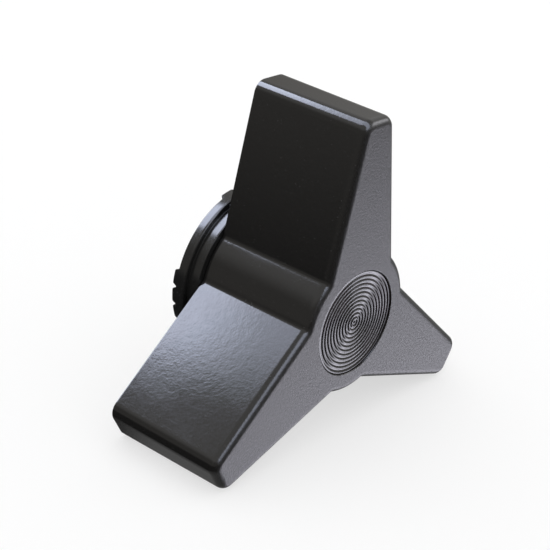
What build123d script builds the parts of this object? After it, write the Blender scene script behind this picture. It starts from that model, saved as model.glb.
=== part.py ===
from build123d import *
import os
from math import cos, radians, sin, tan

# A three-wing hand nut: a moulded wing body on a threaded brass insert, closed in front by a ringed cap,
# with a collar behind it that turns freely on the insert and takes the clamping load.
#
# Frame, in millimetres: the thread axis is the Y axis, and the origin is where it crosses the clamping face.
# The front of the nut looks along -Y and one wing points up, along +Z. A "height" is a distance in front of
# the clamping face, so a height h lies at y = -h.

# Wing body, sized at its back, where it is largest
wing_count = 3
first_wing_angle = 90  # the top wing points along +Z
wing_reach = 38.9  # axis to the flat wing tips
wing_tip_width = 8.0
wing_axis_width = 23.0  # width that the tapering wing would have at the axis
hub_radius = 14.1
body_depth = 24.8
draft_angle = 0.8  # everything narrows by this much towards the front
tip_edge_radius = 2.5
root_fillet_radius = 1.2
front_edge_radius = 1.5
hub_gap = 0.15  # open seam between the hub and the collar

# Collar
collar_height = 5.05
neck_radius = 15.2
rim_radius = 16.3
rim_height = 2.8  # front shoulder of the rim
rim_chamfer = 0.5
neck_chamfer = 0.3

# Clamping teeth on the back of the rim, in banks with plain arcs between them
bank_count = 3
teeth_per_bank = 5
tooth_pitch_angle = 13.0
first_tooth_angle = 51.0
tooth_height = 0.85
tooth_root_width = 3.4
tooth_flank_angle = 30.0
land_radius = 14.3  # flat clamping ring inside the teeth, level with their crests

# Insert, M10 x 1.5
thread_minor_radius = 4.25
thread_lead_in = 0.8
insert_flats = 17.0  # across the flats of its moulded-in hexagon
insert_length_in_body = 17.0
insert_waist_radius = 7.3
insert_waist_width = 3.0
journal_radius = 7.0
journal_end_height = 0.4  # the insert stops just inside the clamping face
running_clearance = 0.05
corner_clearance = 0.4

# Thrust washer, in a pocket in the front of the collar
washer_thickness = 0.6
washer_radius = 12.0
end_float = 0.05  # on each side of the washer

# Retaining ring for the 14 mm journal
ring_thickness = 1.0
ring_groove_width = 1.1
ring_groove_radius = 6.7
ring_groove_height = 1.3
ring_outer_radius = 8.3
ring_offset = 0.35  # the ring is thickest opposite its gap
ring_lug_radius = 1.5
ring_lug_pitch_radius = 8.4
ring_lug_angle = 19.0
ring_lug_hole_radius = 0.75
ring_gap_width = 2.4
ring_gap_angle = -90
ring_pocket_radius = 10.8
ring_pocket_height = 2.5

# Front cap
cap_seat_radius = 10.0
cap_seat_depth = 2.2
cap_radius = 9.9
cap_recess = 0.25  # the cap's face lies this far below the front of the body
cap_ring_count = 12
cap_ring_pitch = 0.8
cap_ring_depth = 0.18
cap_edge_radius = 0.12
spigot_bore_radius = 7.0
spigot_radius = 6.8
spigot_inner_radius = 5.6
spigot_length = 3.2
crush_rib_count = 6
crush_rib_width = 0.9

# Heights that follow from the sizes above
washer_seat_height = collar_height + hub_gap - washer_thickness - 2 * end_float
body_back_height = collar_height + hub_gap
body_front_height = body_back_height + body_depth
insert_front_height = body_back_height + insert_length_in_body
insert_waist_height = body_back_height + (insert_length_in_body - insert_waist_width) / 2
cap_seat_height = body_front_height - cap_seat_depth
cap_face_height = body_front_height - cap_recess
spigot_end_height = cap_seat_height - spigot_length
collar_bore_radius = journal_radius + running_clearance
collar_tooth_angles = [
    first_tooth_angle + bank * 360 / bank_count + tooth * tooth_pitch_angle
    for bank in range(bank_count)
    for tooth in range(teeth_per_bank)
]

# Turned outlines are drawn on this plane as (radius, height).
turning_plane = Plane(origin=(0, 0, 0), x_dir=(1, 0, 0), z_dir=(0, 0, -1))


def at_height(height):
    """The plane across the thread axis at a height, with its normal towards the front."""
    return Plane.XZ.offset(height)


def turn(radius, low, high, mode=Mode.ADD):
    """Add or cut a round disc about the thread axis between two heights."""
    with BuildSketch(at_height(low)) as section:
        Circle(radius)
    extrude(section.sketch, amount=high - low, mode=mode)


def upright_edges(builder):
    """The edges that run the whole depth of the body, from its back to its front."""
    return builder.edges().filter_by(lambda edge: edge.length > 0.9 * body_depth)


def distance_from_axis(edge):
    """How far the middle of an edge lies from the thread axis."""
    middle = edge.center()
    return (middle.X**2 + middle.Z**2) ** 0.5


def is_at_tip(edge):
    return distance_from_axis(edge) > 2 * hub_radius


def is_at_root(edge):
    return distance_from_axis(edge) < 1.2 * hub_radius


# Threaded insert: a hexagon with a waist, which the wing body is moulded around, and a turned journal.
with BuildPart() as threaded_insert:
    with BuildSketch(at_height(body_back_height)):
        RegularPolygon(insert_flats / 2, side_count=6, major_radius=False)
    extrude(amount=insert_length_in_body)
    with BuildSketch(at_height(insert_waist_height)):
        RegularPolygon(insert_flats, side_count=6, major_radius=False)
        Circle(insert_waist_radius, mode=Mode.SUBTRACT)
    extrude(amount=insert_waist_width, mode=Mode.SUBTRACT)
    turn(journal_radius, journal_end_height, body_back_height)
    with BuildSketch(at_height(ring_groove_height)):
        Circle(journal_radius)
        Circle(ring_groove_radius, mode=Mode.SUBTRACT)
    extrude(amount=ring_groove_width, mode=Mode.SUBTRACT)
    turn(thread_minor_radius, journal_end_height, insert_front_height, mode=Mode.SUBTRACT)
    mouth_edges = threaded_insert.edges().filter_by(GeomType.CIRCLE)
    mouth_edges = mouth_edges.filter_by(lambda edge: abs(edge.radius - thread_minor_radius) < 0.01)
    chamfer(mouth_edges, thread_lead_in)

# Wing body: tapering wings on a round hub, moulded around the insert.
with BuildPart() as wing_body:
    with BuildSketch(at_height(body_back_height)):
        Circle(hub_radius)
        with PolarLocations(0, wing_count, start_angle=first_wing_angle):
            Polygon(
                (0, -wing_axis_width / 2),
                (wing_reach, -wing_tip_width / 2),
                (wing_reach, wing_tip_width / 2),
                (0, wing_axis_width / 2),
                align=None,
            )
    extrude(amount=body_depth, taper=draft_angle)
    fillet(upright_edges(wing_body).filter_by(is_at_tip), tip_edge_radius)
    fillet(upright_edges(wing_body).filter_by(is_at_root), root_fillet_radius)
    front_face = wing_body.faces().sort_by(Axis.Y)[0]
    fillet(front_face.outer_wire().edges(), front_edge_radius)
    turn(cap_seat_radius, cap_seat_height, body_front_height, mode=Mode.SUBTRACT)
    turn(spigot_bore_radius, insert_front_height, cap_seat_height, mode=Mode.SUBTRACT)
    turn(thread_minor_radius + thread_lead_in, body_back_height, insert_front_height, mode=Mode.SUBTRACT)
    add(threaded_insert.part, mode=Mode.SUBTRACT)

# Front cap: a ringed disc with a hollow spigot, held in the body by crush ribs.
with BuildPart() as front_cap:
    turn(cap_radius, cap_seat_height, cap_face_height)
    cap_front_edge = front_cap.edges().sort_by(Axis.Y)[0]
    fillet(cap_front_edge, cap_edge_radius)
    with BuildSketch(at_height(cap_face_height - cap_ring_depth)):
        for ring in reversed(range(cap_ring_count)):
            Circle((ring + 0.75) * cap_ring_pitch)
            Circle((ring + 0.25) * cap_ring_pitch, mode=Mode.SUBTRACT)
    extrude(amount=cap_ring_depth, mode=Mode.SUBTRACT)
    with BuildSketch(at_height(spigot_end_height)):
        Circle(spigot_radius)
        with PolarLocations(0, crush_rib_count):
            Rectangle(spigot_bore_radius + 1, crush_rib_width, align=(Align.MIN, Align.CENTER))
        Circle(spigot_bore_radius, mode=Mode.INTERSECT)
        Circle(spigot_inner_radius, mode=Mode.SUBTRACT)
    extrude(amount=spigot_length)

# Thrust washer between the hub and the collar.
with BuildPart() as thrust_washer:
    washer_low = washer_seat_height + end_float
    turn(washer_radius, washer_low, washer_low + washer_thickness)
    turn(collar_bore_radius, washer_low, washer_low + washer_thickness, mode=Mode.SUBTRACT)

# Clamping teeth: straight-sided wedges that point at the axis, cut to the cylinder of the rim.
with BuildPart() as collar_teeth:
    for angle in collar_tooth_angles:
        outward = Vector(cos(radians(angle)), 0, sin(radians(angle)))
        sideways = Vector(-sin(radians(angle)), 0, cos(radians(angle)))
        tooth_plane = Plane(origin=outward * (rim_radius + 1), x_dir=sideways, z_dir=-outward)
        crest_width = tooth_root_width - 2 * tooth_height * tan(radians(tooth_flank_angle))
        with BuildSketch(tooth_plane):
            with BuildLine():
                Polyline(
                    (-tooth_root_width / 2, -tooth_height),
                    (-crest_width / 2, 0),
                    (crest_width / 2, 0),
                    (tooth_root_width / 2, -tooth_height),
                    close=True,
                )
            make_face()
        extrude(amount=rim_radius + 1 - land_radius + 0.2)
    with BuildSketch(at_height(0)):
        Circle(rim_radius)
    extrude(amount=tooth_height, mode=Mode.INTERSECT)

# Swivel collar: neck, rim, flat clamping ring and teeth, bored for the insert's journal.
with BuildPart() as swivel_collar:
    with BuildSketch(turning_plane):
        with BuildLine():
            Polyline(
                (collar_bore_radius, ring_pocket_height),
                (ring_pocket_radius, ring_pocket_height),
                (ring_pocket_radius, 0),
                (land_radius, 0),
                (land_radius, tooth_height),
                (rim_radius, tooth_height),
                (rim_radius, rim_height - rim_chamfer),
                (rim_radius - rim_chamfer, rim_height),
                (neck_radius, rim_height),
                (neck_radius, collar_height - neck_chamfer),
                (neck_radius - neck_chamfer, collar_height),
                (washer_radius + corner_clearance, collar_height),
                (washer_radius + corner_clearance, washer_seat_height),
                (collar_bore_radius, washer_seat_height),
                close=True,
            )
        make_face()
    revolve(axis=Axis.Y)
    add(collar_teeth.part)

# Retaining ring in the journal's groove, with two eyed lugs beside its gap.
with BuildPart() as retaining_ring:
    ring_low = ring_groove_height + (ring_groove_width - ring_thickness) / 2
    with BuildSketch(at_height(ring_low)):
        with PolarLocations(-ring_offset, 1, start_angle=ring_gap_angle):
            Circle(ring_outer_radius)
        lug_angles = (ring_gap_angle - ring_lug_angle, ring_gap_angle + ring_lug_angle)
        for lug_angle in lug_angles:
            with PolarLocations(ring_lug_pitch_radius, 1, start_angle=lug_angle):
                Circle(ring_lug_radius)
        for lug_angle in lug_angles:
            with PolarLocations(ring_lug_pitch_radius, 1, start_angle=lug_angle):
                Circle(ring_lug_hole_radius, mode=Mode.SUBTRACT)
        Circle(ring_groove_radius, mode=Mode.SUBTRACT)
        with PolarLocations(ring_pocket_radius / 2, 1, start_angle=ring_gap_angle):
            Rectangle(ring_pocket_radius, ring_gap_width, mode=Mode.SUBTRACT)
    extrude(amount=ring_thickness)

pieces = {
    "wing_body": wing_body,
    "front_cap": front_cap,
    "threaded_insert": threaded_insert,
    "thrust_washer": thrust_washer,
    "swivel_collar": swivel_collar,
    "retaining_ring": retaining_ring,
}
os.makedirs("parts", exist_ok=True)
for name, piece in pieces.items():
    piece.part.label = name
    export_step(piece.part, f"parts/{name}.step")
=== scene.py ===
from math import atan2, cos, pi, radians, sin, sqrt, tan

import bmesh
import bpy
from mathutils import Matrix, Vector


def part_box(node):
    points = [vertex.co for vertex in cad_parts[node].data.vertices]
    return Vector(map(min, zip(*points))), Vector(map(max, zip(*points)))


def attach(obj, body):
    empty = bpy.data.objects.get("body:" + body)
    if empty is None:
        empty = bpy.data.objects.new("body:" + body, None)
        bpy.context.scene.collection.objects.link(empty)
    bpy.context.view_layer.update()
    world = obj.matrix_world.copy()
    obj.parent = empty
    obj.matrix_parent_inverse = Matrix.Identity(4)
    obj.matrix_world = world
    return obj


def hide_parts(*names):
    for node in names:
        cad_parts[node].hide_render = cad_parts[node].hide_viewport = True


# A three-wing hand nut: its moulded wing body, ringed front cap, threaded brass insert, thrust washer,
# toothed collar and retaining ring. Everything is in metres. The thread axis is the Y axis, the front of the
# nut looks along -Y and one wing points up. A "level" is a distance in front of the clamping face.
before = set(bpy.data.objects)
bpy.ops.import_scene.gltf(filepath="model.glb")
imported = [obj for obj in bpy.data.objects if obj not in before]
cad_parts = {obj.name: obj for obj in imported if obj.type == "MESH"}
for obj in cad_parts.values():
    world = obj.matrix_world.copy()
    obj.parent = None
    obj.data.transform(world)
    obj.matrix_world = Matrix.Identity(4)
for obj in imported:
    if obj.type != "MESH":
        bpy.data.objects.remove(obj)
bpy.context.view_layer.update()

mm = 0.001
full_turn = 2 * pi

# ---------------------------------------------------------------------------------------------- sizes

body_low, body_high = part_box("wing_body")
cap_low, cap_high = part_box("front_cap")
insert_low, insert_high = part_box("threaded_insert")
washer_low, washer_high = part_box("thrust_washer")
collar_low, collar_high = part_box("swivel_collar")
ring_low, ring_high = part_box("retaining_ring")

body_front = -body_low.y
body_back = -body_high.y
wing_count = 3
wing_reach = body_high.z
tip_half_width = 4.0 * mm
axis_half_width = 11.5 * mm
hub_radius = 14.1 * mm
draft = tan(radians(0.8))
tip_edge_radius = 2.5 * mm
root_radius = 1.2 * mm
front_edge_radius = 1.5 * mm
parting_edge_radius = 0.12 * mm
support_gap = 0.12 * mm  # from a rounded edge to the row of points that holds the flat beside it

cap_radius = cap_high.x
cap_face = -cap_low.y
cap_ring_pitch = 0.8 * mm
cap_ring_depth = 0.16 * mm
cap_ring_count = 12
ring_valley_power = 0.8  # under 1 widens the valleys between the rings
cap_seat_radius = 10.0 * mm
cap_seat_lip = 0.15 * mm  # radius of the edge round the seat's mouth
cap_seat = body_front - 2.2 * mm
cap_back = -cap_high.y
spigot_bore_radius = 7.0 * mm
spigot_inner_radius = 5.6 * mm

insert_front = -insert_low.y
insert_apothem = insert_high.z
insert_end = -insert_high.y
waist_radius = 7.3 * mm
waist_low = body_back + 7.0 * mm
waist_high = waist_low + 3.0 * mm
journal_radius = 7.0 * mm
thread_minor_radius = 4.25 * mm
thread_major_radius = 5.05 * mm
thread_pitch = 1.5 * mm
thread_crest_share = 0.22
lead_in = 0.8 * mm
groove_low = 1.3 * mm
groove_high = 2.4 * mm
groove_radius = 6.7 * mm

collar_front = -collar_low.y
rim_radius = collar_high.x
neck_radius = 15.2 * mm
rim_shoulder = 2.8 * mm
land_radius = 14.3 * mm
ring_pocket_radius = 10.8 * mm
ring_pocket_floor = 2.5 * mm
washer_pocket_radius = 12.4 * mm
washer_pocket_floor = -washer_high.y - 0.05 * mm
collar_bore_radius = 7.05 * mm
tooth_height = 0.85 * mm
tooth_pitch = radians(13)
first_tooth = radians(51)
teeth_per_bank = 5
tooth_crest_share = 0.66  # share of the pitch that a crest takes
tooth_flank_share = 0.15  # and the share of each slope beside it

# Marks that a section gives its points, which tell the shape trees where to work
plain_mark = 0
worked_mark = 1
hexagon_mark = 2

floor_level = body_low.z

# ---------------------------------------------------------------------------------------------- outlines


def arc(centre, radius, start, end, steps):
    """Points on an arc and the directions in which they face, from one angle to another."""
    for step in range(steps + 1):
        angle = start + (end - start) * step / steps
        facing = Vector((cos(angle), sin(angle)))
        yield Vector(centre) + radius * facing, facing


tip_flat_shares = (0.4, 0.8, 0.96)
tip_edge_steps = 12
side_steps = 26
root_steps = 8
hub_steps = 12
end_gap_share = 0.005  # keeps a support point this share of a side away from each of its ends
hub_gap_share = 0.01


def half_wing_outline(draft_inset):
    """Half of a third of the body's outline, from the middle of a tip to the middle of the hub between wings.

    Each entry is a point (along the wing, across it) and the direction that the outline faces there.
    The draft inset moves the flats and the hub inwards and leaves the edge radii as they are.
    """
    reach = wing_reach - draft_inset
    slope = (axis_half_width - tip_half_width) / wing_reach
    side = Vector((slope, 1)).normalized()
    side_offset = axis_half_width * side.y - draft_inset
    hub = hub_radius - draft_inset

    tip_centre_along = reach - tip_edge_radius
    tip_centre_across = (side_offset - tip_edge_radius - tip_centre_along * side.x) / side.y
    tip_centre = Vector((tip_centre_along, tip_centre_across))

    # The root arc's centre is a root radius outside both the wing's side and the hub.
    along_side = Vector((side.y, -side.x))
    root_offset = side_offset + root_radius
    root_run = sqrt((hub + root_radius) ** 2 - root_offset**2)
    root_centre = root_offset * side + root_run * along_side
    root_facing = atan2(root_centre.y, root_centre.x)

    yield Vector((reach, 0)), Vector((1, 0))
    for share in tip_flat_shares:
        yield Vector((reach, tip_centre.y * share)), Vector((1, 0))
    side_angle = atan2(side.y, side.x)
    yield from arc(tip_centre, tip_edge_radius, 0, side_angle, tip_edge_steps)
    side_start = tip_centre + tip_edge_radius * side
    side_end = root_centre - root_radius * side
    between = (step / side_steps for step in range(1, side_steps))
    for share in (end_gap_share, *between, 1 - end_gap_share):
        yield side_start.lerp(side_end, share), side
    for point, facing in arc(root_centre, root_radius, side_angle + pi, root_facing + pi, root_steps):
        yield point, -facing
    hub_end = pi / wing_count
    hub_start = root_facing + (hub_end - root_facing) * hub_gap_share
    yield from arc((0, 0), hub, hub_start, hub_end, hub_steps)


def third_outline(draft_inset):
    """The outline around one whole wing, from one middle of the hub to the next."""
    half = list(half_wing_outline(draft_inset))
    other_half = [(Vector((p.x, -p.y)), Vector((n.x, -n.y))) for p, n in half[1:]]
    return list(reversed(other_half)) + half


def rounded(corner_across, corner_level, radius, start, end, steps):
    """(across, level) pairs on a rounded edge whose centre of curvature is given."""
    for step in range(steps + 1):
        angle = start + (end - start) * step / steps
        yield corner_across + radius * cos(angle), corner_level + radius * sin(angle)


def body_stations():
    """Where each band of the body's skin runs, from its back round the outside and back through its core.

    A station follows the outer outline at an inset, a circle or the insert's hexagon, each at a level.
    """
    edge = parting_edge_radius
    round_edge = front_edge_radius
    parting_steps, side_bands, front_edge_steps, lip_steps = 4, 5, 12, 5
    yield "outline", edge + support_gap, body_back
    for across, level in rounded(edge, body_back + edge, edge, -pi / 2, -pi, parting_steps):
        yield "outline", across, level
    side_low, side_high = body_back + edge, body_front - round_edge
    for band in range(side_bands + 1):
        level = side_low + support_gap + (side_high - side_low - 2 * support_gap) * band / side_bands
        yield "outline", 0, level
    for across, level in rounded(round_edge, side_high, round_edge, pi, pi / 2, front_edge_steps):
        yield "outline", across, level
    yield "outline", round_edge + support_gap, body_front
    lip_centre = cap_seat_radius + cap_seat_lip
    yield "circle", lip_centre + support_gap, body_front
    for across, level in rounded(lip_centre, body_front - cap_seat_lip, cap_seat_lip, pi / 2, pi, lip_steps):
        yield "circle", across, level
    yield "circle", cap_seat_radius, cap_seat
    yield "circle", spigot_bore_radius, cap_seat
    yield "circle", spigot_bore_radius, insert_front
    yield "hexagon", insert_apothem, insert_front
    yield "hexagon", insert_apothem, waist_high
    yield "circle", waist_radius, waist_high
    yield "circle", waist_radius, waist_low
    yield "hexagon", insert_apothem, waist_low
    yield "hexagon", insert_apothem, body_back


def hexagon_radius(angle, apothem):
    """How far a hexagon with flats above and below reaches at an angle from one of those flats."""
    sector = pi / 3
    return apothem / cos((angle + sector / 2) % sector - sector / 2)


def third_of_body():
    """One third of the wing body's closed skin, open only at the two planes where the thirds meet."""
    texture_start = 0.5  # how far up the rounded front edge the front's grain begins
    columns = []
    textures = []
    for kind, size, level in body_stations():
        draft_inset = max(0, level - body_back) * draft
        outline = third_outline(draft_inset)
        column = []
        for point, facing in outline:
            angle = atan2(point.y, point.x)
            if kind == "outline":
                place = point - size * facing
            elif kind == "circle":
                place = Vector((cos(angle), sin(angle))) * size
            else:
                place = Vector((cos(angle), sin(angle))) * hexagon_radius(angle, size)
            column.append((place.y, -level, place.x))
        columns.append(column)
        edge_share = (level - body_front + front_edge_radius) / front_edge_radius
        is_front = kind == "outline" or level >= body_front
        texture = max(0.0, (edge_share - texture_start) / (1 - texture_start)) if is_front else 0.0
        textures += [texture] * len(column)
    rows = len(columns[0])
    places = [place for column in columns for place in column]
    faces = []
    for station in range(len(columns)):
        following = (station + 1) % len(columns)
        for row in range(rows - 1):
            here, there = station * rows + row, following * rows + row
            faces.append((here, here + 1, there + 1, there))
    mesh = bpy.data.meshes.new("third_of_body")
    mesh.from_pydata(places, [], faces)
    grain = mesh.attributes.new("front_texture", "FLOAT", "POINT")
    grain.data.foreach_set("value", textures)
    return mesh


# ---------------------------------------------------------------------------------------------- node helpers


class Wiring:
    """Writes nodes into a tree, with links or plain values for their inputs."""

    def __init__(self, tree):
        self.tree = tree

    def node(self, kind, inputs=None, **settings):
        made = self.tree.nodes.new(kind)
        for setting, value in settings.items():
            setattr(made, setting, value)
        for socket, value in (inputs or {}).items():
            self.feed(made.inputs[socket], value)
        return made

    def feed(self, socket, value):
        if isinstance(value, bpy.types.NodeSocket):
            self.tree.links.new(value, socket)
        else:
            socket.default_value = value

    def math(self, operation, *terms):
        made = self.tree.nodes.new("ShaderNodeMath")
        made.operation = operation
        for socket, term in zip(made.inputs, terms):
            self.feed(socket, term)
        return made.outputs[0]

    def add(self, *terms):
        total = terms[0]
        for term in terms[1:]:
            total = self.math("ADD", total, term)
        return total

    def times(self, *terms):
        total = terms[0]
        for term in terms[1:]:
            total = self.math("MULTIPLY", total, term)
        return total

    def minus(self, first, second):
        return self.math("SUBTRACT", first, second)

    def over(self, first, second):
        return self.math("DIVIDE", first, second)

    def mix(self, share, first, second):
        """The first value where the share is 0 and the second where it is 1."""
        return self.add(first, self.times(share, self.minus(second, first)))

    def ramp(self, value, low, high, out_low=0.0, out_high=1.0, smooth=True):
        """Value carried from the range low..high to out_low..out_high, held at its ends."""
        made = self.node("ShaderNodeMapRange", interpolation_type="SMOOTHSTEP" if smooth else "LINEAR")
        for socket, term in zip(made.inputs, (value, low, high, out_low, out_high)):
            self.feed(socket, term)
        return made.outputs["Result"]


def new_group(kind, name, inputs, outputs):
    """An empty node group with named sockets: (name, socket type, default)."""
    tree = bpy.data.node_groups.new(name, kind)
    for label, socket_kind, default in inputs:
        socket = tree.interface.new_socket(label, in_out="INPUT", socket_type=socket_kind)
        if default is not None:
            socket.default_value = default
    for label, socket_kind in outputs:
        tree.interface.new_socket(label, in_out="OUTPUT", socket_type=socket_kind)
    wiring = Wiring(tree)
    return tree, wiring, wiring.node("NodeGroupInput").outputs, wiring.node("NodeGroupOutput").inputs


double_distance = 0.0005 * mm
shortest_edge = 0.0002 * mm


def run_nodes(name, mesh, tree, settings, sharp_angle=30):
    """The plain mesh object that a Geometry Nodes tree makes from a mesh, with its named inputs set."""
    maker = bpy.data.objects.new(name + "_maker", mesh)
    bpy.context.scene.collection.objects.link(maker)
    modifier = maker.modifiers.new("shape", "NODES")
    modifier.node_group = tree
    for item in tree.interface.items_tree:
        if item.item_type == "SOCKET" and item.in_out == "INPUT" and item.name in settings:
            modifier[item.identifier] = settings[item.name]
    bpy.context.view_layer.update()
    evaluated = maker.evaluated_get(bpy.context.evaluated_depsgraph_get())
    made = bpy.data.meshes.new_from_object(evaluated)
    made.name = name
    maker.modifiers.remove(modifier)
    bpy.data.objects.remove(maker)
    return finished(name, made, sharp_angle)


def finished(name, mesh, sharp_angle=30):
    """An object for a mesh whose faces point outwards, smooth except at its sharp edges."""
    work = bmesh.new()
    work.from_mesh(mesh)
    bmesh.ops.remove_doubles(work, verts=work.verts, dist=double_distance)
    bmesh.ops.dissolve_degenerate(work, edges=work.edges, dist=shortest_edge)
    bmesh.ops.recalc_face_normals(work, faces=work.faces)
    work.to_mesh(mesh)
    work.free()
    mesh.polygons.foreach_set("use_smooth", [True] * len(mesh.polygons))
    mesh.set_sharp_from_angle(angle=radians(sharp_angle))
    piece = bpy.data.objects.new(name, mesh)
    bpy.context.scene.collection.objects.link(piece)
    return piece


# ---------------------------------------------------------------------------------------------- shape trees


def close_tree(wiring, geometry, given, result):
    """Ends a tree: real geometry, its touching points welded, and the piece's material."""
    real = wiring.node("GeometryNodeRealizeInstances", {"Geometry": geometry})
    welded = wiring.node(
        "GeometryNodeMergeByDistance", {"Geometry": real.outputs[0], "Distance": given["Weld Distance"]}
    )
    coated = wiring.node(
        "GeometryNodeSetMaterial", {"Geometry": welded.outputs[0], "Material": given["Material"]}
    )
    wiring.feed(result["Mesh"], coated.outputs[0])


def shape_tree(name, source, *sizes):
    """A new shape tree with the inputs that every piece has, and the piece's own sizes after them."""
    return new_group(
        "GeometryNodeTree",
        name,
        [
            (source, "NodeSocketGeometry", None),
            ("Material", "NodeSocketMaterial", None),
            ("Weld Distance", "NodeSocketFloat", 0.001 * mm),
            *sizes,
        ],
        [("Mesh", "NodeSocketGeometry")],
    )


def repeated_sector_tree():
    """Copies a sector round the thread axis and welds the copies where they meet."""
    tree, wiring, given, result = shape_tree(
        "repeated sector", "Sector", ("Copies", "NodeSocketInt", wing_count)
    )
    places = wiring.node("GeometryNodePoints", {"Count": given["Copies"]})
    number = wiring.node("GeometryNodeInputIndex").outputs[0]
    angle = wiring.over(wiring.times(number, full_turn), given["Copies"])
    turn = wiring.node("ShaderNodeCombineXYZ", {"Y": angle})
    copies = wiring.node(
        "GeometryNodeInstanceOnPoints",
        {"Points": places.outputs[0], "Instance": given["Sector"], "Rotation": turn.outputs[0]},
    )
    close_tree(wiring, copies.outputs[0], given, result)
    return tree


def turning_group():
    """Turns a section about the thread axis. Points keep their turn angle and the section's mark."""
    tree, wiring, given, result = new_group(
        "GeometryNodeTree",
        "turn about the thread axis",
        [("Section", "NodeSocketGeometry", None), ("Columns", "NodeSocketInt", 128)],
        [("Mesh", "NodeSocketGeometry")],
    )
    size = wiring.node("GeometryNodeAttributeDomainSize", {"Geometry": given["Section"]})
    rows = size.outputs["Point Count"]
    grid = wiring.node(
        "GeometryNodeMeshGrid", {"Vertices X": wiring.add(given["Columns"], 1), "Vertices Y": rows}
    )
    number = wiring.node("GeometryNodeInputIndex").outputs[0]
    column = wiring.math("FLOOR", wiring.over(wiring.add(number, 0.5), rows))
    row = wiring.math("ROUND", wiring.minus(number, wiring.times(column, rows)))
    angle = wiring.over(wiring.times(column, full_turn), given["Columns"])

    def from_section(kind, value):
        sample = wiring.node("GeometryNodeSampleIndex", data_type=kind)
        wiring.feed(sample.inputs["Geometry"], given["Section"])
        wiring.feed(sample.inputs["Value"], value)
        wiring.feed(sample.inputs["Index"], row)
        return sample.outputs["Value"]

    def kept(geometry, name, value):
        store = wiring.node("GeometryNodeStoreNamedAttribute", data_type="FLOAT", domain="POINT")
        wiring.feed(store.inputs["Geometry"], geometry)
        wiring.feed(store.inputs["Name"], name)
        wiring.feed(store.inputs["Value"], value)
        return store.outputs["Geometry"]

    mark = wiring.node("GeometryNodeInputNamedAttribute", {"Name": "mark"}, data_type="FLOAT")
    point = from_section("FLOAT_VECTOR", wiring.node("GeometryNodeInputPosition").outputs[0])
    parts = wiring.node("ShaderNodeSeparateXYZ", {0: point}).outputs
    skin = kept(grid.outputs["Mesh"], "mark", from_section("FLOAT", mark.outputs["Attribute"]))
    skin = kept(skin, "turn_angle", angle)
    turned = wiring.node(
        "ShaderNodeCombineXYZ",
        {
            "X": wiring.times(parts["X"], wiring.math("COSINE", angle)),
            "Y": wiring.times(parts["Z"], -1.0),
            "Z": wiring.times(parts["X"], wiring.math("SINE", angle)),
        },
    )
    placed = wiring.node("GeometryNodeSetPosition", {"Geometry": skin, "Position": turned.outputs[0]})
    wiring.feed(result["Mesh"], placed.outputs[0])
    return tree


def start_turned_tree(name, turning, *sizes):
    """A shape tree that has already turned its section, with what a turned piece is worked out from."""
    tree, wiring, given, result = shape_tree(
        name, "Section", ("Columns", "NodeSocketInt", 128), *sizes
    )
    turned = wiring.node("GeometryNodeGroup", node_tree=turning)
    wiring.feed(turned.inputs["Section"], given["Section"])
    wiring.feed(turned.inputs["Columns"], given["Columns"])

    def attribute(label):
        found = wiring.node("GeometryNodeInputNamedAttribute", {"Name": label}, data_type="FLOAT")
        return found.outputs["Attribute"]

    place = wiring.node("ShaderNodeSeparateXYZ", {0: wiring.node("GeometryNodeInputPosition").outputs[0]})
    x, y, z = (place.outputs[axis] for axis in "XYZ")
    radius = wiring.math("SQRT", wiring.add(wiring.times(x, x), wiring.times(z, z)))
    return tree, wiring, given, result, turned.outputs[0], attribute, (x, y, z, radius)


def moved(wiring, geometry, offset):
    return wiring.node("GeometryNodeSetPosition", {"Geometry": geometry, "Offset": offset}).outputs[0]


def plain_turned_tree(turning):
    """A turned piece with nothing added."""
    tree, wiring, given, result, skin, *_ = start_turned_tree("plain turned piece", turning)
    close_tree(wiring, skin, given, result)
    return tree


def ringed_cap_tree(turning):
    """A turned cap whose marked face carries concentric rings, each a rounded valley."""
    tree, wiring, given, result, skin, attribute, (_, _, _, radius) = start_turned_tree(
        "ringed cap",
        turning,
        ("Ring Pitch", "NodeSocketFloat", cap_ring_pitch),
        ("Ring Depth", "NodeSocketFloat", cap_ring_depth),
        ("Ring Count", "NodeSocketInt", cap_ring_count),
    )
    phase = wiring.over(radius, given["Ring Pitch"])
    valley = wiring.minus(0.5, wiring.times(wiring.math("COSINE", wiring.times(phase, full_turn)), 0.5))
    valley = wiring.math("POWER", valley, ring_valley_power)
    inside = wiring.math("LESS_THAN", phase, given["Ring Count"])
    drop = wiring.times(valley, inside, attribute("mark"), given["Ring Depth"])
    offset = wiring.node("ShaderNodeCombineXYZ", {"Y": drop}).outputs[0]
    close_tree(wiring, moved(wiring, skin, offset), given, result)
    return tree


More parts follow.
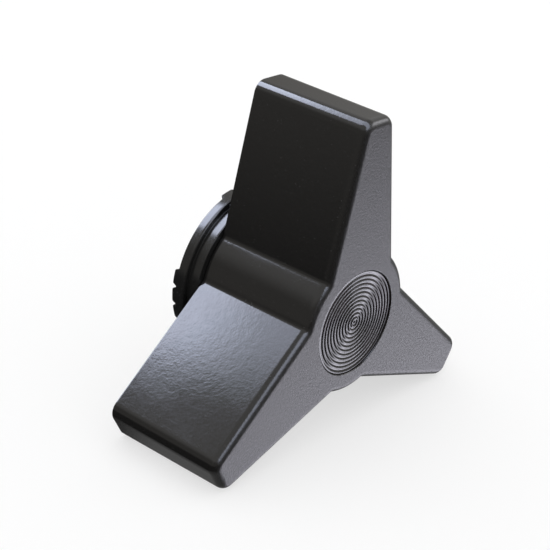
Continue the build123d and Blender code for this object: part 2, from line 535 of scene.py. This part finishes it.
def toothed_collar_tree(turning):
    """A turned collar whose marked points drop back to form banks of clamping teeth."""
    tree, wiring, given, result, skin, attribute, _ = start_turned_tree(
        "toothed collar",
        turning,
        ("Banks", "NodeSocketInt", wing_count),
        ("Teeth Per Bank", "NodeSocketInt", teeth_per_bank),
        ("Tooth Pitch", "NodeSocketFloat", tooth_pitch),
        ("First Tooth", "NodeSocketFloat", first_tooth),
        ("Tooth Height", "NodeSocketFloat", tooth_height),
        ("Crest Share", "NodeSocketFloat", tooth_crest_share),
        ("Flank Share", "NodeSocketFloat", tooth_flank_share),
    )
    bank_turn = wiring.over(full_turn, given["Banks"])
    from_first = wiring.minus(attribute("turn_angle"), given["First Tooth"])
    from_first = wiring.add(from_first, wiring.times(given["Tooth Pitch"], 0.5))
    in_bank = wiring.math("FLOORED_MODULO", from_first, bank_turn)
    teeth_from_first = wiring.over(in_bank, given["Tooth Pitch"])
    in_teeth = wiring.math("LESS_THAN", teeth_from_first, given["Teeth Per Bank"])
    from_crest = wiring.math("ABSOLUTE", wiring.minus(wiring.math("FRACT", teeth_from_first), 0.5))
    crest_half = wiring.times(given["Crest Share"], 0.5)
    rise = wiring.ramp(from_crest, crest_half, wiring.add(crest_half, given["Flank Share"]), 1.0, 0.0)
    lift = wiring.times(rise, in_teeth, attribute("mark"), given["Tooth Height"])
    offset = wiring.node("ShaderNodeCombineXYZ", {"Y": lift}).outputs[0]
    close_tree(wiring, moved(wiring, skin, offset), given, result)
    return tree


def threaded_insert_tree(turning):
    """A turned insert whose worked points take the helix of its thread, and others its hexagon."""
    tree, wiring, given, result, skin, attribute, (x, y, z, radius) = start_turned_tree(
        "threaded insert",
        turning,
        ("Thread Pitch", "NodeSocketFloat", thread_pitch),
        ("Thread Depth", "NodeSocketFloat", thread_major_radius - thread_minor_radius),
        ("Crest Share", "NodeSocketFloat", thread_crest_share),
        ("Hexagon Apothem", "NodeSocketFloat", insert_apothem),
    )
    mark = attribute("mark")
    angle = attribute("turn_angle")
    on_thread = wiring.math("COMPARE", mark, worked_mark, 0.5)
    on_hexagon = wiring.math("COMPARE", mark, hexagon_mark, 0.5)
    turns = wiring.add(wiring.over(y, given["Thread Pitch"]), wiring.over(angle, full_turn))
    from_root = wiring.times(wiring.math("ABSOLUTE", wiring.minus(wiring.math("FRACT", turns), 0.5)), 2.0)
    crest = given["Crest Share"]
    depth = wiring.ramp(from_root, wiring.times(crest, 0.5), wiring.minus(1.0, crest), 1.0, 0.0, smooth=False)
    # The lead-in cone of the section is already wider than the thread's crest there.
    thread_wall = wiring.add(wiring.times(depth, given["Thread Depth"]), thread_minor_radius)
    thread_radius = wiring.math("MAXIMUM", thread_wall, radius)
    sector = pi / 3
    in_sector = wiring.math("FLOORED_MODULO", angle, sector)
    hexagon_radius = wiring.over(
        given["Hexagon Apothem"], wiring.math("COSINE", wiring.minus(in_sector, sector / 2))
    )
    # The hexagon has flats above and below, so its corners lie on the X axis.
    stretch_thread = wiring.times(on_thread, wiring.minus(wiring.over(thread_radius, radius), 1.0))
    stretch_hexagon = wiring.times(on_hexagon, wiring.minus(wiring.over(hexagon_radius, radius), 1.0))
    stretch = wiring.add(stretch_thread, stretch_hexagon)
    offset = wiring.node(
        "ShaderNodeCombineXYZ", {"X": wiring.times(x, stretch), "Z": wiring.times(z, stretch)}
    ).outputs[0]
    close_tree(wiring, moved(wiring, skin, offset), given, result)
    return tree


# ---------------------------------------------------------------------------------------------- sections


def soft_section(corners, closed=True, steps=4):
    """(radius, level, mark) points of a section with rounded corners, and a support point beside each."""
    support_share = 0.2  # how far beyond a corner's curve its support points lie, in lengths of the curve
    longest_cut = 0.42  # share of a side that a corner's curve may take
    points = []
    count = len(corners)
    for index, (radius, level, edge_radius, mark) in enumerate(corners):
        corner = Vector((radius, level))
        at_end = not closed and index in (0, count - 1)
        if edge_radius == 0 or at_end:
            points.append((radius, level, mark))
            continue
        before = Vector(corners[index - 1][:2]) - corner
        after = Vector(corners[(index + 1) % count][:2]) - corner
        room = longest_cut * min(before.length, after.length)
        cut = min(edge_radius / tan(before.angle(after) / 2), room)
        enter, leave = before.normalized() * cut, after.normalized() * cut
        points.append((*(corner + enter * (1 + support_share)), mark))
        for step in range(steps + 1):
            share = step / steps
            bend = (1 - share) ** 2 * enter + share**2 * leave
            points.append((*(corner + bend), mark))
        points.append((*(corner + leave * (1 + support_share)), mark))
    if closed:
        points.append(points[0])
    return points


def section_mesh(name, points):
    """A section as a line of points, a radius in X and a level in Z, with its marks."""
    mesh = bpy.data.meshes.new(name)
    places = [(radius, 0, level) for radius, level, _ in points]
    mesh.from_pydata(places, [(index, index + 1) for index in range(len(places) - 1)], [])
    marks = mesh.attributes.new("mark", "FLOAT", "POINT")
    marks.data.foreach_set("value", [float(mark) for *_, mark in points])
    return mesh


def cap_section():
    """The cap from the middle of its face round its rim and spigot to the middle of its back."""
    steps_per_ring = 10
    step = cap_ring_pitch / steps_per_ring
    ringed_points = cap_ring_count * steps_per_ring + 1
    ringed = [(index * step, cap_face, worked_mark) for index in range(ringed_points)]
    face_edge, back_edge, spigot_end_edge, spigot_inner_edge = 0.12 * mm, 0.08 * mm, 0.3 * mm, 0.1 * mm
    rim = soft_section(
        [
            (ringed[-1][0], cap_face, 0, plain_mark),
            (cap_radius, cap_face, face_edge, plain_mark),
            (cap_radius, cap_seat, back_edge, plain_mark),
            (spigot_bore_radius, cap_seat, 0, plain_mark),
            (spigot_bore_radius, cap_back, spigot_end_edge, plain_mark),
            (spigot_inner_radius, cap_back, spigot_inner_edge, plain_mark),
            (spigot_inner_radius, cap_seat, 0, plain_mark),
            (0, cap_seat, 0, plain_mark),
        ],
        closed=False,
    )
    return section_mesh("cap_section", ringed + rim[1:])


def insert_section():
    """The insert: its threaded bore with a lead-in at each end, its hexagon and waist, and its journal."""
    rows_per_turn = 16
    journal_end_edge = 0.3 * mm
    rows = round((insert_front - insert_end) / thread_pitch * rows_per_turn)
    bore = []
    for row in range(rows + 1):
        level = insert_end + (insert_front - insert_end) * row / rows
        from_end = min(level - insert_end, insert_front - level)
        bore.append((thread_minor_radius + max(0, lead_in - from_end), level, worked_mark))
    outside = [
        (insert_apothem, insert_front, 0, hexagon_mark),
        (insert_apothem, waist_high, 0, hexagon_mark),
        (waist_radius, waist_high, 0, plain_mark),
        (waist_radius, waist_low, 0, plain_mark),
        (insert_apothem, waist_low, 0, hexagon_mark),
        (insert_apothem, body_back, 0, hexagon_mark),
        (journal_radius, body_back, 0, plain_mark),
        (journal_radius, groove_high, 0, plain_mark),
        (groove_radius, groove_high, 0, plain_mark),
        (groove_radius, groove_low, 0, plain_mark),
        (journal_radius, groove_low, 0, plain_mark),
        (journal_radius, insert_end, journal_end_edge, plain_mark),
        (bore[0][0], insert_end, 0, worked_mark),
    ]
    return section_mesh("insert_section", bore + soft_section(outside, closed=False))


def collar_section():
    """The collar: bore, circlip pocket, clamping land, rim, neck and washer pocket."""
    fine, mouth, tooth_edge, soft, shoulder = 0.08 * mm, 0.15 * mm, 0.18 * mm, 0.22 * mm, 0.5 * mm
    corners = [
        (collar_bore_radius, ring_pocket_floor, fine, plain_mark),
        (ring_pocket_radius, ring_pocket_floor, fine, plain_mark),
        (ring_pocket_radius, 0, mouth, plain_mark),
        (land_radius, 0, 0, plain_mark),
        (land_radius, tooth_height, 0, worked_mark),
        (rim_radius, tooth_height, tooth_edge, worked_mark),
        (rim_radius, rim_shoulder, shoulder, plain_mark),
        (neck_radius, rim_shoulder, fine, plain_mark),
        (neck_radius, collar_front, soft, plain_mark),
        (washer_pocket_radius, collar_front, fine, plain_mark),
        (washer_pocket_radius, washer_pocket_floor, fine, plain_mark),
        (collar_bore_radius, washer_pocket_floor, fine, plain_mark),
    ]
    return section_mesh("collar_section", soft_section(corners))


def washer_section():
    """The flat washer."""
    low, high = -washer_high.y, -washer_low.y
    edge = 0.08 * mm
    corners = [
        (collar_bore_radius, low, edge, plain_mark),
        (washer_high.x, low, edge, plain_mark),
        (washer_high.x, high, edge, plain_mark),
        (collar_bore_radius, high, edge, plain_mark),
    ]
    return section_mesh("washer_section", soft_section(corners))


def retaining_ring():
    """The circlip: a flat ring, thickest opposite its gap, with an eyed lug on each side of the gap."""
    centre_shift = 0.35 * mm
    outer, inner = 8.3 * mm, groove_radius
    lug_radius, lug_reach, lug_angle = 1.5 * mm, 8.4 * mm, radians(19)
    lug_clearance = radians(4)  # between a lug's outline and the start of the ring's own
    eye_radius = 0.75 * mm
    eye_sides = 20
    gap_half = 1.2 * mm
    curve = bpy.data.curves.new("circlip_outline", "CURVE")
    curve.dimensions = "2D"
    curve.fill_mode = "BOTH"
    edge = 0.1 * mm
    curve.bevel_depth = edge
    curve.bevel_resolution = 2
    curve.extrude = (ring_high.y - ring_low.y) / 2 - edge

    # Half of the outline, in (aside, above) with the gap below: from the gap round the outside to the top.
    lug = Vector((lug_reach * sin(lug_angle), -lug_reach * cos(lug_angle)))
    lug_start, lug_end = radians(-100), radians(50)
    on_lug = [point for point, _ in arc(lug, lug_radius, lug_start, lug_end, 14)]
    on_lug = [point for point in on_lug if point.x > gap_half or point.y > lug.y]
    ring_start = atan2(on_lug[-1].y - centre_shift, on_lug[-1].x) + lug_clearance
    on_ring = [point for point, _ in arc((0, centre_shift), outer, ring_start, pi / 2, 24)]
    inner_start = -pi / 2 + gap_half / inner
    inside = [point for point, _ in arc((0, 0), inner, pi / 2, inner_start, 32)]
    foot = Vector((gap_half, lug.y - 0.6 * lug_radius))
    right_side = [foot] + on_lug + on_ring
    left_side = [Vector((-point.x, point.y)) for point in reversed(right_side[:-1])]
    inner_left = [Vector((-point.x, point.y)) for point in reversed(inside)]
    loops = [right_side + left_side + inner_left[:-1] + inside]
    for side in (-1, 1):
        eye = [point for point, _ in arc((side * lug.x, lug.y), eye_radius, 0, full_turn, eye_sides)]
        loops.append(eye[:-1])
    for loop in loops:
        spline = curve.splines.new("POLY")
        spline.use_cyclic_u = True
        spline.points.add(len(loop) - 1)
        for point, place in zip(spline.points, loop):
            point.co = (place.x, place.y, 0, 1)
    maker = bpy.data.objects.new("circlip_maker", curve)
    bpy.context.scene.collection.objects.link(maker)
    evaluated = maker.evaluated_get(bpy.context.evaluated_depsgraph_get())
    mesh = bpy.data.meshes.new_from_object(evaluated)
    bpy.data.objects.remove(maker)
    middle = (ring_high.y + ring_low.y) / 2
    mesh.transform(Matrix(((1, 0, 0, 0), (0, 0, -1, middle), (0, 1, 0, 0), (0, 0, 0, 1))))
    return finished("spring_circlip", mesh)


# ---------------------------------------------------------------------------------------------- finishes


def surface_group(name, sizes, outputs):
    """A shader group that works on the piece's own coordinates, in millimetres."""
    tree, wiring, given, result = new_group(
        "ShaderNodeTree", name, [(label, "NodeSocketFloat", default) for label, default in sizes], outputs
    )
    place = wiring.node("ShaderNodeTexCoord").outputs["Object"]
    scaled = wiring.node("ShaderNodeVectorMath", {0: place, "Scale": 1 / mm}, operation="SCALE").outputs[0]
    return tree, wiring, given, result, scaled


def noise(wiring, place, scale, detail=2.0, roughness=0.5):
    made = wiring.node("ShaderNodeTexNoise", {"Vector": place, "Scale": scale})
    made.inputs["Detail"].default_value = detail
    made.inputs["Roughness"].default_value = roughness
    return made.outputs[0]


def orange_peel_group():
    """The slow waviness of a polished mould and of cooling plastic."""
    tree, wiring, given, result, place = surface_group(
        "orange peel", [("Waves Per mm", 0.45), ("Ripple", 0.35)], [("Height", "NodeSocketFloat")]
    )
    slow = noise(wiring, place, given["Waves Per mm"], detail=1.0)
    fine = noise(wiring, place, wiring.times(given["Waves Per mm"], 4.0), detail=2.0)
    wiring.feed(result["Height"], wiring.add(slow, wiring.times(fine, given["Ripple"])))
    return tree


def spark_grain_group():
    """The fine matt grain of a spark-eroded mould face."""
    tree, wiring, given, result, place = surface_group(
        "spark grain",
        [("Grains Per mm", 5.0)],
        [("Height", "NodeSocketFloat"), ("Speckle", "NodeSocketFloat")],
    )
    grain = noise(wiring, place, given["Grains Per mm"], detail=3.0, roughness=0.6)
    cells = wiring.node("ShaderNodeTexVoronoi", {"Vector": place, "Scale": given["Grains Per mm"]})
    wiring.feed(result["Height"], wiring.add(grain, wiring.times(cells.outputs["Distance"], 0.5)))
    wiring.feed(result["Speckle"], wiring.ramp(grain, 0.35, 0.65))
    return tree


def handling_group():
    """Where hands and the packing have dulled a surface: broad smears, fine scratches and a little dust."""
    tree, wiring, given, result, place = surface_group(
        "handling",
        [("Amount", 1.0)],
        [("Dulling", "NodeSocketFloat"), ("Scratch", "NodeSocketFloat"), ("Dust", "NodeSocketFloat")],
    )
    smears_per_mm, scratches_per_mm, patches_per_mm, specks_per_mm = 0.12, 2.6, 0.2, 3.4
    smear = wiring.ramp(noise(wiring, place, smears_per_mm, detail=3.0), low=0.35, high=0.75)
    scratch = 0.0
    for turn, stretch in ((0.5, 0.02), (2.1, 0.03)):
        mapping = wiring.node("ShaderNodeMapping", {"Vector": place})
        mapping.inputs["Rotation"].default_value = (turn, turn * 0.7, turn * 1.3)
        mapping.inputs["Scale"].default_value = (1.0, stretch, 1.0)
        lines = noise(wiring, mapping.outputs[0], scratches_per_mm, detail=1.0)
        scratch = wiring.add(scratch, wiring.ramp(lines, low=0.70, high=0.74))
    patches = wiring.ramp(noise(wiring, place, patches_per_mm, detail=1.0), low=0.45, high=0.7)
    specks = wiring.ramp(noise(wiring, place, specks_per_mm, detail=0.0), low=0.80, high=0.84)
    wiring.feed(result["Dulling"], wiring.times(smear, given["Amount"]))
    wiring.feed(result["Scratch"], wiring.times(scratch, patches, given["Amount"]))
    wiring.feed(result["Dust"], wiring.times(specks, given["Amount"]))
    return tree


def turning_marks_group():
    """The fine rings that a lathe tool leaves round the thread axis."""
    tree, wiring, given, result, place = surface_group(
        "turning marks", [("Marks Per mm", 6.0)], [("Height", "NodeSocketFloat")]
    )
    parts = wiring.node("ShaderNodeSeparateXYZ", {0: place}).outputs
    radius = wiring.math(
        "SQRT", wiring.add(wiring.times(parts["X"], parts["X"]), wiring.times(parts["Z"], parts["Z"]))
    )
    across = wiring.node("ShaderNodeCombineXYZ", {"X": radius, "Y": parts["Y"]}).outputs[0]
    wiring.feed(result["Height"], noise(wiring, across, given["Marks Per mm"], detail=2.0))
    return tree


class Finish:
    """A material in the making: its Principled shader, its wiring and the groups placed in it."""

    def __init__(self, name, **plain):
        self.material = bpy.data.materials.new(name)
        self.material.use_nodes = True
        self.wiring = Wiring(self.material.node_tree)
        self.shader = self.material.node_tree.nodes["Principled BSDF"]
        for socket, value in plain.items():
            self.shader.inputs[socket.replace("_", " ")].default_value = value

    def group(self, tree, **values):
        placed = self.wiring.node("ShaderNodeGroup", node_tree=tree)
        for socket, value in values.items():
            placed.inputs[socket.replace("_", " ")].default_value = value
        return placed.outputs

    def bump(self, height, depth, strength=1.0, under=None):
        """A bump whose height runs over a depth in metres, on top of another bump if there is one."""
        bump = self.wiring.node("ShaderNodeBump", {"Height": height, "Distance": depth, "Strength": strength})
        if under is not None:
            self.wiring.feed(bump.inputs["Normal"], under)
        return bump.outputs[0]

    def colour(self, share, low, high):
        """A colour between two, by a share that changes over the surface."""
        mixer = self.wiring.node("ShaderNodeMix", data_type="RGBA")
        self.wiring.feed(mixer.inputs["Factor"], share)
        mixer.inputs["A"].default_value = (*low, 1)
        mixer.inputs["B"].default_value = (*high, 1)
        self.wiring.feed(self.shader.inputs["Base Color"], mixer.outputs["Result"])

    def set(self, socket, value):
        self.wiring.feed(self.shader.inputs[socket], value)


plastic_ior = 1.5
bluish_dust = (0.05, 0.05, 0.052)


def moulded_body_finish(peel, grain, handling):
    """Black moulding, glossy on the wings' sides and finely grained on its flat front."""
    polished, spark_eroded = 0.075, 0.38
    wave_depth, grain_depth, side_grain_share = 0.005 * mm, 0.035 * mm, 0.1
    finish = Finish("moulded_black_body", IOR=plastic_ior)
    wiring = finish.wiring
    waves = finish.group(peel, Waves_Per_mm=0.9, Ripple=0.4)
    grains = finish.group(grain, Grains_Per_mm=2.6)
    worn = finish.group(handling, Amount=1.0)
    front = wiring.node("ShaderNodeAttribute", attribute_name="front_texture").outputs["Fac"]
    side_roughness = wiring.add(
        polished,
        wiring.times(worn["Dulling"], 0.03),
        wiring.times(grains["Speckle"], 0.02),
        wiring.times(worn["Scratch"], 0.06),
    )
    front_roughness = wiring.add(spark_eroded, wiring.times(grains["Speckle"], 0.1))
    finish.set("Roughness", wiring.mix(front, side_roughness, front_roughness))
    finish.colour(wiring.times(worn["Dust"], 0.5), (0.0085, 0.0082, 0.008), bluish_dust)
    wavy = finish.bump(waves["Height"], wave_depth)
    grain_height = wiring.times(grains["Height"], wiring.mix(front, side_grain_share, 1.0))
    finish.set("Normal", finish.bump(grain_height, grain_depth, under=wavy))
    return finish.material


def cap_finish(marks, handling):
    """Glossy black cap, with faint turning marks in its rings."""
    polished, mark_depth = 0.11, 0.004 * mm
    finish = Finish("glossy_black_cap", IOR=plastic_ior)
    wiring = finish.wiring
    turned = finish.group(marks, Marks_Per_mm=7.0)
    worn = finish.group(handling, Amount=1.0)
    finish.set("Roughness", wiring.add(polished, wiring.times(worn["Dulling"], 0.05)))
    finish.colour(wiring.times(worn["Dust"], 0.4), (0.009, 0.008, 0.008), (0.05, 0.05, 0.05))
    finish.set("Normal", finish.bump(turned["Height"], mark_depth))
    return finish.material


def collar_finish(peel, grain, handling):
    """Black collar, a little duller than the wings."""
    satin, wave_depth, grain_depth = 0.13, 0.008 * mm, 0.003 * mm
    finish = Finish("satin_black_collar", IOR=plastic_ior)
    wiring = finish.wiring
    waves = finish.group(peel, Waves_Per_mm=0.6, Ripple=0.4)
    grains = finish.group(grain, Grains_Per_mm=6.0)
    worn = finish.group(handling, Amount=1.2)
    dulled = wiring.times(worn["Dulling"], 0.05)
    speckled = wiring.times(grains["Speckle"], 0.04)
    finish.set("Roughness", wiring.add(satin, dulled, speckled))
    finish.colour(wiring.times(worn["Dust"], 0.5), (0.009, 0.009, 0.009), bluish_dust)
    wavy = finish.bump(waves["Height"], wave_depth)
    finish.set("Normal", finish.bump(grains["Height"], grain_depth, under=wavy))
    return finish.material


def metal_finish(name, marks, handling, light, dark, roughness, marks_per_mm):
    """Turned or stamped metal: light where it is clean and darker where it has tarnished."""
    mark_depth = 0.006 * mm
    finish = Finish(name, Metallic=1.0)
    wiring = finish.wiring
    turned = finish.group(marks, Marks_Per_mm=marks_per_mm)
    worn = finish.group(handling, Amount=1.0)
    finish.colour(worn["Dulling"], light, dark)
    finish.set("Roughness", wiring.add(roughness, wiring.times(worn["Dulling"], 0.15)))
    finish.set("Normal", finish.bump(turned["Height"], mark_depth))
    return finish.material


# ---------------------------------------------------------------------------------------------- pieces


def make_pieces():
    """Every piece, by the CAD node that it stands for, with the body it rides on and its slot."""
    turning = turning_group()
    peel, grain = orange_peel_group(), spark_grain_group()
    handling, marks = handling_group(), turning_marks_group()
    brass = metal_finish(
        "turned_brass",
        marks,
        handling,
        light=(0.78, 0.56, 0.27),
        dark=(0.42, 0.27, 0.11),
        roughness=0.22,
        marks_per_mm=5.0,
    )
    steel = metal_finish(
        "stamped_steel",
        marks,
        handling,
        light=(0.62, 0.62, 0.63),
        dark=(0.4, 0.39, 0.38),
        roughness=0.3,
        marks_per_mm=4.0,
    )
    phosphated = metal_finish(
        "phosphated_steel",
        marks,
        handling,
        light=(0.10, 0.095, 0.09),
        dark=(0.05, 0.047, 0.045),
        roughness=0.42,
        marks_per_mm=9.0,
    )
    body = run_nodes(
        "wing_body_moulding",
        third_of_body(),
        repeated_sector_tree(),
        {"Copies": wing_count, "Material": moulded_body_finish(peel, grain, handling)},
    )
    cap = run_nodes(
        "ringed_front_cap",
        cap_section(),
        ringed_cap_tree(turning),
        {"Columns": 256, "Material": cap_finish(marks, handling)},
        sharp_angle=50,
    )
    insert = run_nodes(
        "brass_insert", insert_section(), threaded_insert_tree(turning), {"Columns": 96, "Material": brass}
    )
    collar = run_nodes(
        "toothed_collar",
        collar_section(),
        toothed_collar_tree(turning),
        {"Columns": 576, "Material": collar_finish(peel, grain, handling)},
    )
    washer = run_nodes(
        "steel_washer", washer_section(), plain_turned_tree(turning), {"Columns": 128, "Material": steel}
    )
    circlip = retaining_ring()
    circlip.data.materials.append(phosphated)
    return [
        (body, "wing_body", "handle", "body_black"),
        (cap, "front_cap", "handle", "cap_black"),
        (insert, "threaded_insert", "handle", "insert_brass"),
        (collar, "swivel_collar", "collar", "collar_black"),
        (washer, "thrust_washer", "washer", "washer_steel"),
        (circlip, "retaining_ring", "handle", "ring_steel"),
    ]


for piece, node, body_name, slot in make_pieces():
    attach(piece, body_name)
    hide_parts(node)

# ---------------------------------------------------------------------------------------------- studio


def make_camera():
    """The camera stands left of the front and above it, rolled a little."""
    turn, drop, roll = radians(50.84), radians(25.88), radians(5.68)
    hub_front = Vector((0, -body_front, 0))
    distance = 265.5 * mm
    hub_left, hub_up = 14.42 * mm, -8.56 * mm  # where the hub lies from the middle of the view
    forward = Vector((sin(turn) * cos(drop), cos(turn) * cos(drop), -sin(drop)))
    level_right = Vector((cos(turn), -sin(turn), 0))
    upward = level_right.cross(forward)
    right = level_right * cos(roll) + upward * sin(roll)
    up = upward * cos(roll) - level_right * sin(roll)
    place = hub_front - hub_left * right - hub_up * up - distance * forward
    data = bpy.data.cameras.new("camera")
    data.lens, data.sensor_width = 97.7, 36  # these two alone are in millimetres
    data.clip_start, data.clip_end = 0.01, 20
    camera = bpy.data.objects.new("camera", data)
    camera.matrix_world = Matrix((right, up, -forward)).transposed().to_4x4()
    camera.location = place
    bpy.context.scene.collection.objects.link(camera)
    bpy.context.scene.camera = camera


def make_floor():
    """A wide pale sheet under the nut."""
    half_width = 3.0
    paint, glow = 0.35, 0.62  # mostly its own light, so that the nut's shadow on it stays faint
    mesh = bpy.data.meshes.new("floor")
    around = ((-1, -1), (1, -1), (1, 1), (-1, 1))
    corners = [(x * half_width, y * half_width, floor_level) for x, y in around]
    mesh.from_pydata(corners, [], [(0, 1, 2, 3)])
    floor = bpy.data.objects.new("floor", mesh)
    bpy.context.scene.collection.objects.link(floor)
    finish = Finish("pale_floor", Roughness=0.9)
    finish.shader.inputs["Base Color"].default_value = (paint, paint, paint, 1)
    finish.shader.inputs["Emission Color"].default_value = (1, 1, 1, 1)
    finish.shader.inputs["Emission Strength"].default_value = glow
    finish.shader.inputs["Specular IOR Level"].default_value = 0.1
    mesh.materials.append(finish.material)
    floor.visible_glossy = False


def make_studio():
    """Even light all round, and the softbox, panels and room that only a glossy surface reflects.

    A light is a brightness over the directions (x, y, z) in which it is seen from the nut.
    """
    white = (1.0, 1.0, 1.0)
    all_round = 1.06
    world = bpy.data.worlds.new("studio")
    bpy.context.scene.world = world
    world.use_nodes = True
    tree = world.node_tree
    tree.nodes.clear()
    wiring = Wiring(tree)
    direction = wiring.node("ShaderNodeTexCoord").outputs["Generated"]
    x, y, z = (wiring.node("ShaderNodeSeparateXYZ", {0: direction}).outputs[axis] for axis in "XYZ")

    def window(value, low, high, blur):
        rise = wiring.ramp(value, low - blur, low + blur)
        fall = wiring.ramp(value, high - blur, high + blur, 1.0, 0.0)
        return wiring.times(rise, fall)

    low_room = wiring.ramp(z, low=-0.17, high=0.0, out_high=0.3)
    high_room = wiring.ramp(z, low=0.3, high=0.66, out_high=0.55)
    softbox = wiring.times(
        window(x, low=-0.407, high=0.14, blur=0.008),
        wiring.ramp(y, low=0.54, high=0.572, out_low=3.6, out_high=10.0),
        wiring.ramp(z, low=0.3, high=0.5),
    )
    rim_light = wiring.times(
        wiring.ramp(x, low=0.55, high=0.75),
        wiring.ramp(y, low=0.5, high=0.62, out_low=0.32, out_high=0.1),
    )
    upper_panel = wiring.times(
        wiring.ramp(x, low=0.45, high=0.6),
        wiring.ramp(y, low=-0.35, high=-0.15, out_low=4.2, out_high=0.0),
        window(z, low=0.25, high=0.62, blur=0.07),
    )
    low_panel = wiring.times(
        wiring.ramp(x, low=0.3, high=0.6),
        wiring.ramp(y, low=-0.35, high=-0.1, out_low=1.0, out_high=0.0),
        wiring.ramp(y, low=-0.56, high=-0.44, out_low=2.75, out_high=5.8),
        window(z, low=-0.9, high=-0.38, blur=0.09),
    )
    floor_glow = wiring.times(
        wiring.ramp(z, low=-0.8, high=-0.72, out_low=0.26, out_high=0.0),
        wiring.ramp(y, low=0.57, high=0.61, out_low=1.0, out_high=0.0),
    )
    tinted_lights = [
        (low_room, (1.05, 1.0, 0.93)),
        (high_room, white),
        (softbox, (0.92, 1.0, 1.25)),
        (rim_light, white),
        (upper_panel, (1.0, 1.0, 1.06)),
        (low_panel, (1.0, 0.99, 1.12)),
        (floor_glow, white),
    ]
    total = (0.0, 0.0, 0.0)
    for brightness, tint in tinted_lights:
        tinted = wiring.node("ShaderNodeVectorMath", {0: tint, "Scale": brightness}, operation="SCALE")
        added = wiring.node("ShaderNodeVectorMath", {0: total, 1: tinted.outputs[0]}, operation="ADD")
        total = added.outputs[0]
    reflected = wiring.node("ShaderNodeBackground", {"Color": total, "Strength": 1.0})
    even = wiring.node("ShaderNodeBackground", {"Color": (*white, 1), "Strength": all_round})
    glossy = wiring.node("ShaderNodeLightPath").outputs["Is Glossy Ray"]
    chosen = wiring.node("ShaderNodeMixShader", {0: glossy, 1: even.outputs[0], 2: reflected.outputs[0]})
    output = wiring.node("ShaderNodeOutputWorld")
    wiring.feed(output.inputs["Surface"], chosen.outputs[0])
    bpy.context.scene.view_settings.view_transform = "Standard"


make_camera()
make_floor()
make_studio()
